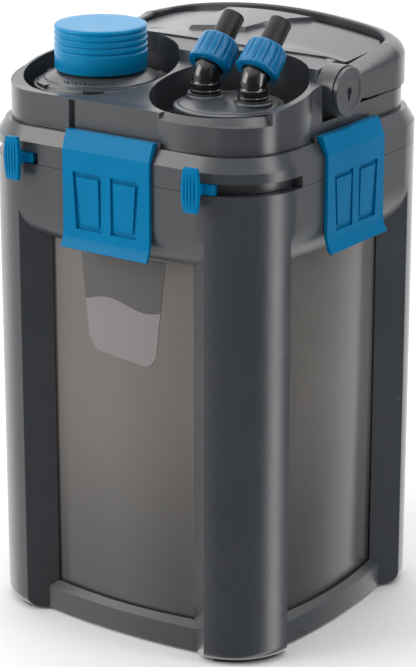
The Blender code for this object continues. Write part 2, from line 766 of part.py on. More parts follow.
def make_motor_housing():
    rows = [(30, 362.6), (30, 396), (28, 398), (12.5, 398), (12.5, 362.6)]
    return lathe("motor_housing", PUMP_AT, rows, "black", 24, ring=True)


def make_motor_cap():
    rows = [(12.2, 392.9), (12.2, 397.7), (0.8, 397.7)]
    return lathe("motor_end_cap", PUMP_AT, rows, "black", 28)


def make_pump_cover():
    rows = [(27, FLOOR_TOP + GAP), (27, 362.2), (24.5, 362.2), (24.5, 349.0)]
    cover = lathe("pump_cover", PUMP_AT, rows, "black", 24)
    for k in range(3):
        a = math.radians(120 * k)
        hole = (PUMP_AT[0] + 8 * math.cos(a), PUMP_AT[1] + 8 * math.sin(a))
        combine(cover, cylinder("inlet", hole, 2.8, 340, 352, 12))
    return combine(cover, y_cylinder("outlet", 4.5, PUMP_AT[0], 356, PUMP_AT[1] - 40, PUMP_AT[1] - 10, 16))


def make_bush(name, z0, z1):
    rows = [(5.2, z0), (5.2, z1), (2.25, z1), (2.25, z0)]
    return lathe(name, PUMP_AT, rows, "rubber", 20, ring=True)


def make_rotor():
    rows = [(11.0, 366.0), (11.0, 387.5), (2.2, 387.5), (2.2, 366.0)]
    return pivot(lathe("rotor_magnet", PUMP_AT, rows, "magnet", 28, ring=True), *PUMP_AT, 366)


def make_impeller():
    rows = [(5.5, 352.8), (5.5, 365.7), (2.2, 365.7), (2.2, 352.8)]
    wheel = lathe("impeller", PUMP_AT, rows, "ceramic", 20, ring=True)
    disc = lathe("disc", PUMP_AT, [(19, 353.2), (19, 354.6), (4.5, 354.6), (4.5, 353.2)], steps=20, ring=True)
    combine(wheel, disc, "UNION")
    for k in range(6):
        blade = box("blade", (4.5, 18.4), (-0.8, 0.8), (354.0, 361.0))
        blade.data.transform(Matrix.Rotation(math.radians(60 * k + 7), 4, "Z"))
        blade.data.transform(Matrix.Translation(Vector((*PUMP_AT, 0)) * MM))
        combine(wheel, blade, "UNION")
    return pivot(wheel, *PUMP_AT, 353)


def make_shaft():
    return cylinder("pump_shaft", PUMP_AT, 2.0, 349.4, 391.6, 16, "ceramic")


# ---------------------------------------------------------------- assembly

CORNERS = {"front_right": (1, -1), "front_left": (-1, -1), "rear_right": (1, 1), "rear_left": (-1, 1)}
SIDES = ("front", "right", "rear", "left")


def build():
    clear_scene()
    make_tank()
    make_frame()
    for name, (sx, sy) in CORNERS.items():
        make_foot(f"foot_{name}", sx, sy)
    for index in range(TRAYS):
        make_tray(index)
        make_foam(index)
    make_head_base()
    make_head_seal()
    make_head_cover()
    make_motor_cover()
    make_cable_gland()
    for turn, side in enumerate(SIDES):
        make_clip(f"clip_{side}", turn)
        make_clip_pin(f"clip_pin_{side}", turn)
    for name, side in (("left", -1), ("right", 1)):
        make_lever(f"release_lever_{name}", side)
        make_pivot_bolt(f"handle_bolt_{name}", side)
        make_elbow(f"elbow_{name}", side)
        make_tail(f"hose_tail_{name}", side)
        make_union_nut(f"union_nut_{name}", side)
        make_retainer(f"elbow_retainer_{name}", side)
    make_handle()
    make_knob()
    make_prefilter_flange()
    make_prefilter_cage()
    make_prefilter_foam()
    o_ring("prefilter_seal", KNOB_AT, 35.25, 1.35, 344)
    make_hose_plate()
    make_motor_housing()
    make_motor_cap()
    make_pump_cover()
    make_bush("bearing_bush_lower", 349.4, 352.4)
    make_bush("bearing_bush_upper", 388.2, 391.6)
    make_rotor()
    make_impeller()
    make_shaft()
    for obj in bpy.data.objects:
        obj.location.y += SHIFT_Y * MM
        obj.data.set_sharp_from_angle(angle=math.radians(35))
        obj.data.shade_smooth()


build()
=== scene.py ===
"""Looks for the square canister filter. Lengths are millimetres in the container's own plan
(front = -Y, right = +X) and become metres, in the row frame, when a piece is finished."""

import math

import bmesh
import bpy
from mathutils import Matrix, Vector


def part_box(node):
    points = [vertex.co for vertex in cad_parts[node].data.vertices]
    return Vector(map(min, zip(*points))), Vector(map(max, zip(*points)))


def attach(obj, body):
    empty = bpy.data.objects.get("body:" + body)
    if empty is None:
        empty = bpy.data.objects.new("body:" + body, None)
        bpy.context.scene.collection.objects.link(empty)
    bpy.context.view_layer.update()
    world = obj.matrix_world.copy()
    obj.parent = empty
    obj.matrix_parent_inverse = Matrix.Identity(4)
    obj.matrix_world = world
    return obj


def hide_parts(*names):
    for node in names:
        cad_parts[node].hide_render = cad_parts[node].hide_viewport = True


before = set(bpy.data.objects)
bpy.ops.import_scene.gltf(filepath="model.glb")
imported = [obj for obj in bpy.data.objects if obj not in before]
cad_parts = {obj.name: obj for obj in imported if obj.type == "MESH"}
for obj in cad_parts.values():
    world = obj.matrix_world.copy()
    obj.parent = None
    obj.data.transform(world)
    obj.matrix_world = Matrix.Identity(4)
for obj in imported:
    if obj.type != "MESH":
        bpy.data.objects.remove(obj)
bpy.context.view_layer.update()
MM = 0.001


def cad(node):
    """A CAD node's box in millimetres: (low corner, high corner)."""
    return [Vector(v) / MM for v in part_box(node)]


# ---------------------------------------------------------------- driving sizes, from the frame

FRAME_LO, FRAME_HI = cad("container_frame")
SHIFT = Vector((0, (FRAME_LO.y + FRAME_HI.y) / 2, 0))
HALF_X = FRAME_HI.x
HALF_Y = FRAME_HI.y - SHIFT.y
CORNER_R = 50.0
RECESS = 16.5
FRONT_LIP, FRONT_EDGE = 79.8, 58.7
SIDE_LIP, SIDE_EDGE = 77.1, 56.0
BOW = 5.0
RAIL_IN = 10.5
TANK_HALF = (HALF_X - RECESS, HALF_Y - RECESS)
TANK_R = TANK_HALF[0] - FRONT_EDGE
FRAME_Z0 = FRAME_LO.z
RAIL_Z, WINDOW_Z0, WINDOW_Z1, COLLAR_FACE_Z = 19.0, 25.0, 287.0, 315.0
COLLAR_TOP = FRAME_HI.z
TANK_Z0, TANK_TOP = cad("container_tank")[0].z, cad("container_tank")[1].z
GAP = 0.3
RIM_Z0 = COLLAR_TOP + GAP
RIM_BREAK, RIM_TOP, RIM_INSET, RIM_WALL, FLOOR_TOP = 357.0, 366.5, 6.0, 12.5, 346.2
COVER_Z0, COVER_INSET, COVER_WALL = RIM_TOP + GAP, 10.0, 3.5
LEDGE_Z, LEDGE_INSET, REAR_WALL_TOP = 381.5, 25.5, 401.0
KNOB_LO, KNOB_HI = cad("prefilter_knob")
KNOB_AT = ((KNOB_LO.x + KNOB_HI.x) / 2, (KNOB_LO.y + KNOB_HI.y) / 2 - SHIFT.y)
KNOB_R = (KNOB_HI.x - KNOB_LO.x) / 2
PLATE_LO, PLATE_HI = cad("hose_unit_plate")
HOSE_AT = ((PLATE_LO.x + PLATE_HI.x) / 2, (PLATE_LO.y + PLATE_HI.y) / 2 - SHIFT.y)
KNOB_WELL_R, HOSE_WELL_R, KNOB_RING_R, HOSE_RING_R = 55.0, 54.6, 57.2, 59.6
WELL_FLOOR, WELL_FLOOR_T, WELL_WALL = 375.0, 3.5, 3.2
PREFILTER_HOLE_R = 37.0
PORT_DX = 19.5
BEND_R, BEND_Z, BEND_ANGLE = 10.0, 403.1, math.radians(45)
NUT_S, TAIL_S, TAIL_R, TAIL_BORE = (1.0, 22.7), (8.4, 44.2), 8.0, 6.2
ELBOW_R, ELBOW_BORE = 9.5, 6.5
RETAINER_R, CURL_R = 12.9, 1.6
COLLAR_R, COLLAR_Z = 10.6, (394.3, 401.0)
ARC_LENGTH = BEND_R * BEND_ANGLE
HANDLE_AXIS = (-5.0, 396.0)
HANDLE_INSET, HANDLE_WIDTH, HANDLE_Y0 = 8.0, 15.0, 16.2
HUB_R, HUB_X = 18.0, (104.4, 118.0)
BOLT_R, BOLT_OUT = 4.4, 121.6
CLIP_HALF, CLIP_REACH, CLIP_AXIS, BARREL_R, PIN_R = 36.75, 7.0, (-6.9, 368.3), 2.1, 0.8
LEVER_R, LEVER_SPAN, LEVER_REST = (43.5, 49.5), 11.0, -86.6
LEVER_PLATE_R, LEVER_PLATE_Z = (57.5, 61.5), (331.5, 362.0)
GROOVE_SPAN = (-102.7, 6.0)
RING_START, RING_WALL_MEETS, RING_END = -107.6, -101.0, -28
DECK = [(-130, 389), (-100, 391), (-27, 403.5), (-21, 404), (-18, 411.5), (4.2, 414.5)]


# ---------------------------------------------------------------- mesh helpers

def solid(name, points, faces):
    mesh = bpy.data.meshes.new(name)
    mesh.from_pydata([tuple(p) for p in points], [], faces)
    bm = bmesh.new()
    bm.from_mesh(mesh)
    bmesh.ops.recalc_face_normals(bm, faces=bm.faces)
    bm.to_mesh(mesh)
    bm.free()
    obj = bpy.data.objects.new(name, mesh)
    bpy.context.scene.collection.objects.link(obj)
    return obj


def loft(name, rows, ring=False):
    """Skin between closed loops of equal length. With ring, the last row joins the first."""
    count = len(rows[0])
    points = [p for row in rows for p in row]
    faces = []
    for r in range(len(rows) - (0 if ring else 1)):
        a, b = r * count, ((r + 1) % len(rows)) * count
        faces += [(a + i, a + (i + 1) % count, b + (i + 1) % count, b + i) for i in range(count)]
    if not ring:
        faces.append(tuple(range(count))[::-1])
        faces.append(tuple((len(rows) - 1) * count + i for i in range(count)))
    return solid(name, points, faces)


def arc(cx, cy, r, a0, a1, steps):
    return [(cx + r * math.cos(math.radians(a0 + (a1 - a0) * k / steps)),
             cy + r * math.sin(math.radians(a0 + (a1 - a0) * k / steps))) for k in range(steps + 1)]


def turned_point(x, y, turn):
    for _ in range(turn):
        x, y = -y, x
    return (x, y)


def outline(inset=0.0, bow=0.0, half=None, radius=CORNER_R, steps=20, side_steps=16):
    """Rounded rectangle, counter-clockwise from the front left; each side may bulge by bow."""
    half = half or (HALF_X, HALF_Y)
    hx, hy, r = half[0] - inset, half[1] - inset, max(radius - inset, 1.0)
    fx, fy = hx - r, hy - r
    loop = []
    parts = side_steps if bow else 1
    for turn, (along, out) in enumerate(((fx, hy), (fy, hx), (fx, hy), (fy, hx))):
        for k in range(parts):
            s = -1 + 2 * k / parts
            loop.append(turned_point(s * along, -(out + bow * (1 - s * s)), turn))
        corner = arc(along, -(out - r), r, -90, 0, steps)[:steps]
        loop += [turned_point(x, y, turn) for x, y in corner]
    return loop


def at(loop, z):
    return [(x, y, z) for x, y in loop]


def circle(cx, cy, r, steps=96):
    return arc(cx, cy, r, 0, 360, steps)[:-1]


def column(name, loop, z0, z1):
    return loft(name, [at(loop, z0), at(loop, z1)])


def cylinder(name, centre, r, z0, z1, steps=96):
    return column(name, circle(*centre, r, steps), z0, z1)


def lathe(name, centre, profile, steps=128, ring=False):
    return loft(name, [at(circle(*centre, r, steps), z) for r, z in profile], ring)


def box(name, x, y, z):
    return column(name, [(x[0], y[0]), (x[1], y[0]), (x[1], y[1]), (x[0], y[1])], *z)


def along_x(name, profile, x0, x1):
    return loft(name, [[(x, y, z) for y, z in profile] for x in (x0, x1)])


def x_cylinder(name, r, y, z, x0, x1, steps=64):
    return along_x(name, arc(y, z, r, 0, 360, steps)[:-1], x0, x1)


def y_cylinder(name, r, x, z, y0, y1, steps=48):
    ring = arc(x, z, r, 0, 360, steps)[:-1]
    return loft(name, [[(u, y, v) for u, v in ring] for y in (y0, y1)])


def combine(target, tool, operation="DIFFERENCE"):
    cut = target.modifiers.new("cut", "BOOLEAN")
    cut.operation = operation
    cut.solver = "EXACT"
    cut.object = tool
    graph = bpy.context.evaluated_depsgraph_get()
    mesh = bpy.data.meshes.new_from_object(target.evaluated_get(graph))
    target.modifiers.clear()
    target.data = mesh
    bpy.data.objects.remove(tool, do_unlink=True)
    return target


def quarter_turn(obj, turns):
    obj.data.transform(Matrix.Rotation(math.radians(90 * turns), 4, "Z"))
    return obj


def mirror_x(obj):
    obj.data.transform(Matrix.Scale(-1, 4, (1, 0, 0)))
    obj.data.flip_normals()
    return obj


def weld(obj, distance=0.02):
    bm = bmesh.new()
    bm.from_mesh(obj.data)
    bmesh.ops.remove_doubles(bm, verts=bm.verts, dist=distance)
    bmesh.ops.dissolve_degenerate(bm, edges=bm.edges, dist=distance / 2)
    bm.to_mesh(obj.data)
    bm.free()
    return obj


def done(obj, body, finish, stands_for=(), bevel=0.0, segments=3, angle=32):
    """Scale a piece to metres in the row frame, round its edges, and hand it to the frame."""
    weld(obj)
    obj.data.transform(Matrix.Scale(MM, 4) @ Matrix.Translation(SHIFT))
    obj.data.materials.clear()
    obj.data.materials.append(finish)
    obj.data.shade_smooth()
    if bevel:
        soft = obj.modifiers.new("edges", "BEVEL")
        soft.width = bevel * MM
        soft.segments = segments
        soft.limit_method = "ANGLE"
        soft.angle_limit = math.radians(angle)
        soft.harden_normals = True
        soft.miter_outer = "MITER_ARC"
        weigh = obj.modifiers.new("normals", "WEIGHTED_NORMAL")
        weigh.keep_sharp = True
        weigh.weight = 60
    else:
        obj.data.set_sharp_from_angle(angle=math.radians(angle))
    bpy.context.view_layer.update()
    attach(obj, body)
    if stands_for:
        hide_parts(*stands_for)
    return obj


# ---------------------------------------------------------------- materials

def plastic(name, colour, roughness=0.38, grain=0.05, grain_size=0.35, mottle=0.06, metallic=0.0,
            coat=0.0, fade=None, gloss=0.5):
    """Moulded plastic: fine grain in the bump, soft patches in colour and roughness.
    fade = (z low, z high, colour at the top) blends the colour up the object as painted light, lighter at
    the top and darker at the bottom."""
    mat = bpy.data.materials.new(name)
    mat.use_nodes = True
    tree = mat.node_tree
    shader = tree.nodes["Principled BSDF"]
    shader.inputs["Metallic"].default_value = metallic
    shader.inputs["Specular IOR Level"].default_value = gloss
    if coat:
        shader.inputs["Coat Weight"].default_value = coat
        shader.inputs["Coat Roughness"].default_value = 0.08
    place = tree.nodes.new("ShaderNodeTexCoord")
    base = colour_node(tree, place, colour, fade)
    patches = tree.nodes.new("ShaderNodeTexNoise")
    patches.inputs["Scale"].default_value = 14.0
    patches.inputs["Detail"].default_value = 4.0
    tree.links.new(place.outputs["Object"], patches.inputs["Vector"])
    shade = tree.nodes.new("ShaderNodeMapRange")
    shade.inputs["From Min"].default_value = 0.3
    shade.inputs["From Max"].default_value = 0.7
    shade.inputs["To Min"].default_value = 1 - mottle
    shade.inputs["To Max"].default_value = 1 + mottle
    tree.links.new(patches.outputs["Fac"], shade.inputs["Value"])
    mix = tree.nodes.new("ShaderNodeMix")
    mix.data_type = "RGBA"
    mix.blend_type = "MULTIPLY"
    mix.inputs["Factor"].default_value = 1.0
    tree.links.new(base, mix.inputs["A"])
    tree.links.new(shade.outputs["Result"], mix.inputs["B"])
    tree.links.new(mix.outputs["Result"], shader.inputs["Base Color"])
    dull = tree.nodes.new("ShaderNodeMapRange")
    dull.inputs["From Min"].default_value = 0.3
    dull.inputs["From Max"].default_value = 0.7
    dull.inputs["To Min"].default_value = roughness * 0.9
    dull.inputs["To Max"].default_value = roughness * 1.1
    tree.links.new(patches.outputs["Fac"], dull.inputs["Value"])
    tree.links.new(dull.outputs["Result"], shader.inputs["Roughness"])
    fine = tree.nodes.new("ShaderNodeTexNoise")
    fine.inputs["Scale"].default_value = 1 / (grain_size * MM)
    fine.inputs["Detail"].default_value = 2.0
    tree.links.new(place.outputs["Object"], fine.inputs["Vector"])
    bump = tree.nodes.new("ShaderNodeBump")
    bump.inputs["Strength"].default_value = grain
    bump.inputs["Distance"].default_value = 0.0004
    tree.links.new(fine.outputs["Fac"], bump.inputs["Height"])
    tree.links.new(bump.outputs["Normal"], shader.inputs["Normal"])
    return mat


def colour_node(tree, place, colour, fade):
    if not fade:
        rgb = tree.nodes.new("ShaderNodeRGB")
        rgb.outputs[0].default_value = (*colour, 1)
        return rgb.outputs[0]
    # Painted light: the colour ramps with height, from the given colour low down to a lighter one at the
    # top.
    low, high, top = fade
    split = tree.nodes.new("ShaderNodeSeparateXYZ")
    tree.links.new(place.outputs["Object"], split.inputs["Vector"])
    ramp = tree.nodes.new("ShaderNodeMapRange")
    ramp.interpolation_type = "SMOOTHSTEP"
    ramp.inputs["From Min"].default_value = low * MM
    ramp.inputs["From Max"].default_value = high * MM
    tree.links.new(split.outputs["Z"], ramp.inputs["Value"])
    mix = tree.nodes.new("ShaderNodeMix")
    mix.data_type = "RGBA"
    tree.links.new(ramp.outputs["Result"], mix.inputs["Factor"])
    mix.inputs["A"].default_value = (*colour, 1)
    mix.inputs["B"].default_value = (*top, 1)
    return mix.outputs["Result"]


CHARCOAL = plastic("charcoal_satin", (0.040, 0.045, 0.051), 0.27, 0.10, 0.30)
COVER = plastic("cover_satin", (0.050, 0.054, 0.060), 0.24, 0.08, 0.30)
WELL_BLACK = plastic("black_gloss", (0.012, 0.0125, 0.013), 0.12, 0.03, 0.4, coat=0.4)
BLUE = plastic("blue_satin", (0.0002, 0.150, 0.330), 0.22, 0.10, 0.30, 0.08, gloss=0.05)
NUT_BLUE = plastic("nut_blue", (0.0002, 0.130, 0.30), 0.15, 0.10, 0.30, 0.08, gloss=0.2)
# The knob is the same blue plastic as the clips and levers; this lighter copy is painted light that
# brightens the knob's shaded sides.
KNOB_BLUE_PAINTED_LIGHT = plastic("knob_blue_painted_light", (0.0003, 0.205, 0.43), 0.30, 0.10, 0.30, 0.08, gloss=0.15)
# The smoked window's colour carries painted light: it lightens towards the top and darkens towards the
# bottom, as the studio light falls down the window.
SMOKED = plastic("smoked_window", (0.050, 0.047, 0.046), 0.20, 0.03, 0.6, 0.05,
                 fade=(20, 200, (0.118, 0.110, 0.104)))
HOSE = plastic("hose_black", (0.006, 0.006, 0.007), 0.40, 0.12, 0.3, gloss=0.22)
RUBBER = plastic("rubber_black", (0.02, 0.02, 0.02), 0.75, 0.3, 0.5)
TRAY = plastic("tray_orange", (0.48, 0.15, 0.02), 0.4, 0.1, 0.4)
STEEL = plastic("steel_wire", (0.62, 0.62, 0.62), 0.22, 0.05, 0.2, 0.03, metallic=1.0)
CERAMIC = plastic("ceramic_white", (0.78, 0.78, 0.75), 0.3, 0.05, 0.3, 0.03)
MAGNET = plastic("magnet_grey", (0.05, 0.05, 0.052), 0.45, 0.2, 0.3, metallic=0.4)
FOAM = plastic("filter_foam", (0.03, 0.12, 0.33), 0.95, 1.0, 1.6, 0.25)
LABEL_DARK = plastic("label_dark", (0.070, 0.067, 0.066), 0.45, 0.05, 0.3, 0.03)
LABEL_LIGHT = plastic("label_light", (0.185, 0.176, 0.178), 0.45, 0.05, 0.3, 0.03)


# ---------------------------------------------------------------- container

def tank_outline(inset=0.0, side_steps=24):
    return outline(inset, BOW, TANK_HALF, TANK_R, 20, side_steps)


def window_cutter(turn):
    """What is missing between two posts: above the rail, in front of the window, under the collar."""
    front = turn % 2 == 0
    face = HALF_Y if front else HALF_X
    lip, edge = (FRONT_LIP, FRONT_EDGE) if front else (SIDE_LIP, SIDE_EDGE)
    slope = (lip - edge) / RECESS
    window = face - RECESS
    levels = [(-1, face - RAIL_IN, BOW), (RAIL_Z, face - RAIL_IN, BOW),
              (WINDOW_Z0, window - 0.35, BOW), (WINDOW_Z1, window - 0.35, BOW)]
    turns = 18
    for k in range(1, turns + 1):
        turn_in = math.radians(90 - 90 * k / turns)
        depth = window + RECESS * math.cos(turn_in)
        height = COLLAR_FACE_Z - (COLLAR_FACE_Z - WINDOW_Z1) * math.sin(turn_in)
        levels.append((height, depth + (GAP if k == turns else 0), BOW * (1 - math.cos(turn_in))))
    rows = []
    samples = 32
    for z, depth, bow in levels:
        half = edge + (depth - window) * slope
        outer = edge + (face + 6 - window) * slope
        row = [(-outer, -face - 6), (outer, -face - 6)]
        for k in range(samples + 1):
            s = 1 - 2 * k / samples
            row.append((s * half, -(depth + bow * (1 - s * s))))
        rows.append([(*turned_point(x, y, turn), z) for x, y in row])
    return loft("window_cutter", rows)


def post_pocket(sx, sy):
    outer = arc(HALF_X - CORNER_R, -(HALF_Y - CORNER_R), CORNER_R - 3.5, -80, -10, 12)
    inner = arc(FRONT_EDGE, -SIDE_EDGE, TANK_R + 3.8, -20, -70, 8)
    return column("post_pocket", [(sx * x, -sy * y) for x, y in outer + inner], FRAME_Z0 - 5, 275)


POST_FOOT_R = 8.0


def make_frame():
    rows = []
    for k in range(9):
        turn_up = math.radians(90 * k / 8)
        rows.append(at(outline(POST_FOOT_R * (1 - math.sin(turn_up))),
                       FRAME_Z0 + POST_FOOT_R * (1 - math.cos(turn_up))))
    rows.append(at(outline(), COLLAR_TOP))
    shell = loft("frame_moulding", rows)
    combine(shell, column("bore", tank_outline(-GAP), -5, COLLAR_TOP + 5))
    combine(shell, column("shadow_gap", tank_outline(-1.6), 21.5, 288.0))
    for turn in range(4):
        combine(shell, window_cutter(turn))
    for sx, sy in ((1, 1), (1, -1), (-1, 1), (-1, -1)):
        combine(shell, post_pocket(sx, sy))
    return done(shell, "container", CHARCOAL, ["container_frame"], 1.1, 3, 28)


def make_tank():
    wall = 3.0
    rows = [at(tank_outline(1.5), TANK_Z0), at(tank_outline(0.4), TANK_Z0 + 0.6),
            at(tank_outline(), TANK_Z0 + 2), at(tank_outline(), TANK_TOP),
            at(tank_outline(wall), TANK_TOP), at(tank_outline(wall), TANK_Z0 + wall)]
    return done(loft("tank_shell", rows), "container", SMOKED, ["container_tank"])


def make_foot(name, sx, sy):
    outer = arc(HALF_X - CORNER_R, -(HALF_Y - CORNER_R), CORNER_R - 6, -76, -14, 16)
    inner = arc(FRONT_EDGE, -SIDE_EDGE, TANK_R + 2.5, -20, -70, 12)
    loop = [(sx * x, -sy * y) for x, y in outer + inner]
    foot = column(f"pad_{name}", loop, 0, FRAME_Z0 - GAP)
    return done(foot, "container", RUBBER, [f"foot_{name}"], 0.4, 2)


def window_point(x, z, lift):
    """A point on the front window's outside, lift millimetres in front of it."""
    s = x / FRONT_EDGE
    return (x, -(TANK_HALF[1] + BOW * (1 - s * s) + lift), z)


def label_piece(name, lower, upper, half_width, finish, lift):
    """Thin card on the window between two height functions of x in -1..1."""
    columns, rows = 40, 24
    points, faces = [], []
    for side in (lift, 0.02):
        for r in range(rows + 1):
            for c in range(columns + 1):
                s = -1 + 2 * c / columns
                z = lower(s) + (upper(s) - lower(s)) * r / rows
                points.append(window_point(LABEL_X + s * half_width(z), z, side))
    layer = (rows + 1) * (columns + 1)
    for r in range(rows):
        for c in range(columns):
            a = r * (columns + 1) + c
            quad = (a, a + 1, a + columns + 2, a + columns + 1)
            faces += [quad, tuple(layer + i for i in reversed(quad))]
    edge = [c for c in range(columns + 1)]
    edge += [r * (columns + 1) + columns for r in range(1, rows + 1)]
    edge += [rows * (columns + 1) + c for c in range(columns - 1, -1, -1)]
    edge += [r * (columns + 1) for r in range(rows - 1, 0, -1)]
    faces += [(a, layer + a, layer + b, b) for a, b in zip(edge, edge[1:] + edge[:1])]
    return done(solid(name, points, faces), "container", finish)


LABEL_X = 2.0


def wave(s):
    """Height of the edge between the label's two tones, s from -1 to 1 across it."""
    return 249.0 - 3.2 * math.sin(math.pi * (s - 0.15))


def make_label():
    def bottom(s):
        return 209.0 - 3.0 * s + 9.0 * max(0.0, abs(s) - 0.72) ** 2 / 0.08

    def width(z):
        return 36.0 - 0.11 * (283.0 - z)

    label_piece("label_upper", wave, lambda s: 284.5, width, LABEL_DARK, 0.3)
    label_piece("label_lower", bottom, lambda s: wave(s) - 0.15, width, LABEL_LIGHT, 0.3)


# ---------------------------------------------------------------- head

def ring_sector(name, radii, span, z, centre, steps=48):
    loop = arc(*centre, radii[1], *span, steps) + arc(*centre, radii[0], span[1], span[0], steps)
    return column(name, loop, *z)


def corner_centre(side):
    return (side * (HALF_X - CORNER_R), -(HALF_Y - CORNER_R))


def side_face(turn):
    return HALF_Y if turn % 2 == 0 else HALF_X


def pin_rod(turn, r, half, name="pin_cutter", steps=24):
    out, z = CLIP_AXIS
    return quarter_turn(x_cylinder(name, r, -(side_face(turn) + out), z, -half, half, steps), turn)


def clip_seat(turn):
    y = -(side_face(turn) + CLIP_AXIS[0])
    return quarter_turn(box("seat", (-CLIP_HALF - 0.5, CLIP_HALF + 0.5), (y - 2.5, y + 2.45),
                            (RIM_TOP - 1, RIM_TOP + 2)), turn)


def clip_lug(turn, side):
    y = -(side_face(turn) + CLIP_AXIS[0])
    x = sorted((side * (CLIP_HALF + 0.5), side * (CLIP_HALF + 3.5)))
    return quarter_turn(box("lug", x, (y - 1.6, y + 1.15), (RIM_TOP - 2, CLIP_AXIS[1] + 2)), turn)


def make_rim():
    rows = [(RIM_Z0, 0), (RIM_BREAK, 0), (RIM_TOP, RIM_INSET), (RIM_TOP, RIM_WALL), (FLOOR_TOP, RIM_WALL)]
    rim = loft("head_rim", [at(outline(inset), z) for z, inset in rows])
    combine(rim, cylinder("prefilter_hole", KNOB_AT, PREFILTER_HOLE_R, 330, 360))
    combine(rim, cylinder("pump_hole", (20, 48), 12, 330, 360))
    for side in (-1, 1):
        span = GROOVE_SPAN if side > 0 else (180 - GROOVE_SPAN[1], 180 - GROOVE_SPAN[0])
        combine(rim, ring_sector("groove", (42.5, 70), span, (330, 350.2), corner_centre(side)))
    for turn in range(4):
        combine(rim, clip_seat(turn))
        for side in (-1, 1):
            combine(rim, clip_lug(turn, side), "UNION")
        combine(rim, pin_rod(turn, PIN_R + 0.1, CLIP_HALF + 9))
    return done(rim, "head", CHARCOAL, ["head_base"], 0.7, 3, 25)


def deck_block(drop=0.0, rear_z=REAR_WALL_TOP):
    profile = [(y, z - drop) for y, z in DECK]
    rear = [(4.2, rear_z), (130, rear_z), (130, 340)]
    return along_x("deck", [(-130, 340)] + profile + rear, -140, 140)


def handle_room():
    room = column("room", outline(-15), LEDGE_Z, 440)
    combine(room, column("core", outline(LEDGE_INSET), LEDGE_Z - 5, 450))
    combine(room, box("front", (-150, 150), (-150, 14), (LEDGE_Z - 9, 460)))
    return room


def hub_room(side):
    x = sorted((side * (HUB_X[0] - 0.4), side * 140))
    return box("hub_room", x, (-25, 14.5), (377, 440))


def cover_hollow():
    hollow = column("hollow", outline(COVER_INSET + COVER_WALL), 350, LEDGE_Z - COVER_WALL)
    combine(hollow, column("upper", outline(LEDGE_INSET + COVER_WALL), 370, 440), "UNION")
    combine(hollow, deck_block(drop=COVER_WALL, rear_z=450), "INTERSECT")
    combine(hollow, box("front_wall", (-150, 150), (0.7, 7.7), (LEDGE_Z + 8, 460)))
    for centre, r in ((KNOB_AT, KNOB_WELL_R), (HOSE_AT, HOSE_WELL_R)):
        combine(hollow, cylinder("well", centre, r + WELL_WALL, WELL_FLOOR - WELL_FLOOR_T, 460))
    for side in (-1, 1):
        x = sorted((side * (HUB_X[0] - 0.4 - COVER_WALL), side * 150))
        combine(hollow, box("hub_wall", x, (-29, 18), (373, 460)))
    return hollow


def hose_ring_loop():
    """Plan of the hose well's wall: a circle drawn out over the cover's front right corner."""
    r = CORNER_R - COVER_INSET
    corner = (HALF_X - CORNER_R, CORNER_R - HALF_Y)
    dx, dy = corner[0] - HOSE_AT[0], corner[1] - HOSE_AT[1]
    towards = math.degrees(math.atan2(dy, dx))
    spread = math.degrees(math.acos((HOSE_RING_R - r) / math.hypot(dx, dy)))
    a, b = towards - spread, towards + spread
    return arc(*HOSE_AT, HOSE_RING_R, b, a + 360, 140) + arc(*corner, r, a, b, 48)


def ring_chamfer():
    """What the sloped band round the front of the hose well leaves out."""
    cone = [(HOSE_WELL_R, 391), (HOSE_RING_R, 386), (72, 386), (72, 420), (HOSE_WELL_R, 420)]
    tool = lathe("ring_chamfer", HOSE_AT, cone, 160, ring=True)
    sector = ring_sector("sector", (50, 80), (RING_START, RING_END), (380, 425), HOSE_AT, 64)
    return combine(tool, sector, "INTERSECT")


def make_cover():
    cover = column("head_shell", outline(COVER_INSET, steps=24), COVER_Z0, 430)
    combine(cover, cylinder("ring", KNOB_AT, KNOB_RING_R, COVER_Z0, 430, 160), "UNION")
    combine(cover, column("ring", hose_ring_loop(), COVER_Z0, 430), "UNION")
    combine(cover, deck_block(), "INTERSECT")
    combine(cover, handle_room())
    for side in (-1, 1):
        combine(cover, hub_room(side))
    combine(cover, cover_hollow())
    combine(cover, cylinder("well", KNOB_AT, KNOB_WELL_R, WELL_FLOOR, 440, 160))
    combine(cover, cylinder("well", HOSE_AT, HOSE_WELL_R, WELL_FLOOR, 440, 160))
    combine(cover, cylinder("prefilter_hole", KNOB_AT, PREFILTER_HOLE_R, 360, 380))
    for side in (-1, 1):
        port = (HOSE_AT[0] + side * PORT_DX, HOSE_AT[1])
        combine(cover, cylinder("port_hole", port, 9.0, 360, 380))
        bolt = sorted((side * (HUB_X[0] - 8), side * (HUB_X[0] + 8)))
        combine(cover, x_cylinder("bolt_hole", BOLT_R, *HANDLE_AXIS, *bolt))
    combine(cover, y_cylinder("gland_hole", 6.3, -60, 374.3, 95, 125))
    wall = COVER_INSET - HALF_Y
    notch = [(-41.0, wall - 1), (-35.0, wall - 1), (-35.0, wall + 2.6), (-38.5, wall + 3.4)]
    combine(cover, column("notch", notch, COVER_Z0 - 1, 389.2))
    combine(cover, ring_chamfer())
    step = ring_sector("step", (HOSE_RING_R, 72), (RING_START, RING_WALL_MEETS), (COVER_Z0 - 1, 430),
                       HOSE_AT, 8)
    combine(cover, step)
    return done(cover, "head", COVER, ["head_cover"], 1.0, 3, 30)


def dome_z(x, y):
    side = min(max((y - 5) / 25, 0), 1)
    return 421 - 5 * (90 - y) / 80 - 10 * side * (x / 95) ** 2 - 0.35 * max(y - 86, 0)


def dome_block(drop=0.0):
    rows = []
    xs = [-105 + 3.5 * k for k in range(61)]
    for y in (-6, -2, 2, 5, 8, 11, 14, 17, 20, 24, 28, 33, 40, 50, 60, 71, 80, 86, 103):
        rows.append([(x, y, dome_z(x, y) - drop) for x in xs] + [(105, y, 380), (-105, y, 380)])
    return loft("dome", rows)


PANEL_MIDDLE = (-5, 60)


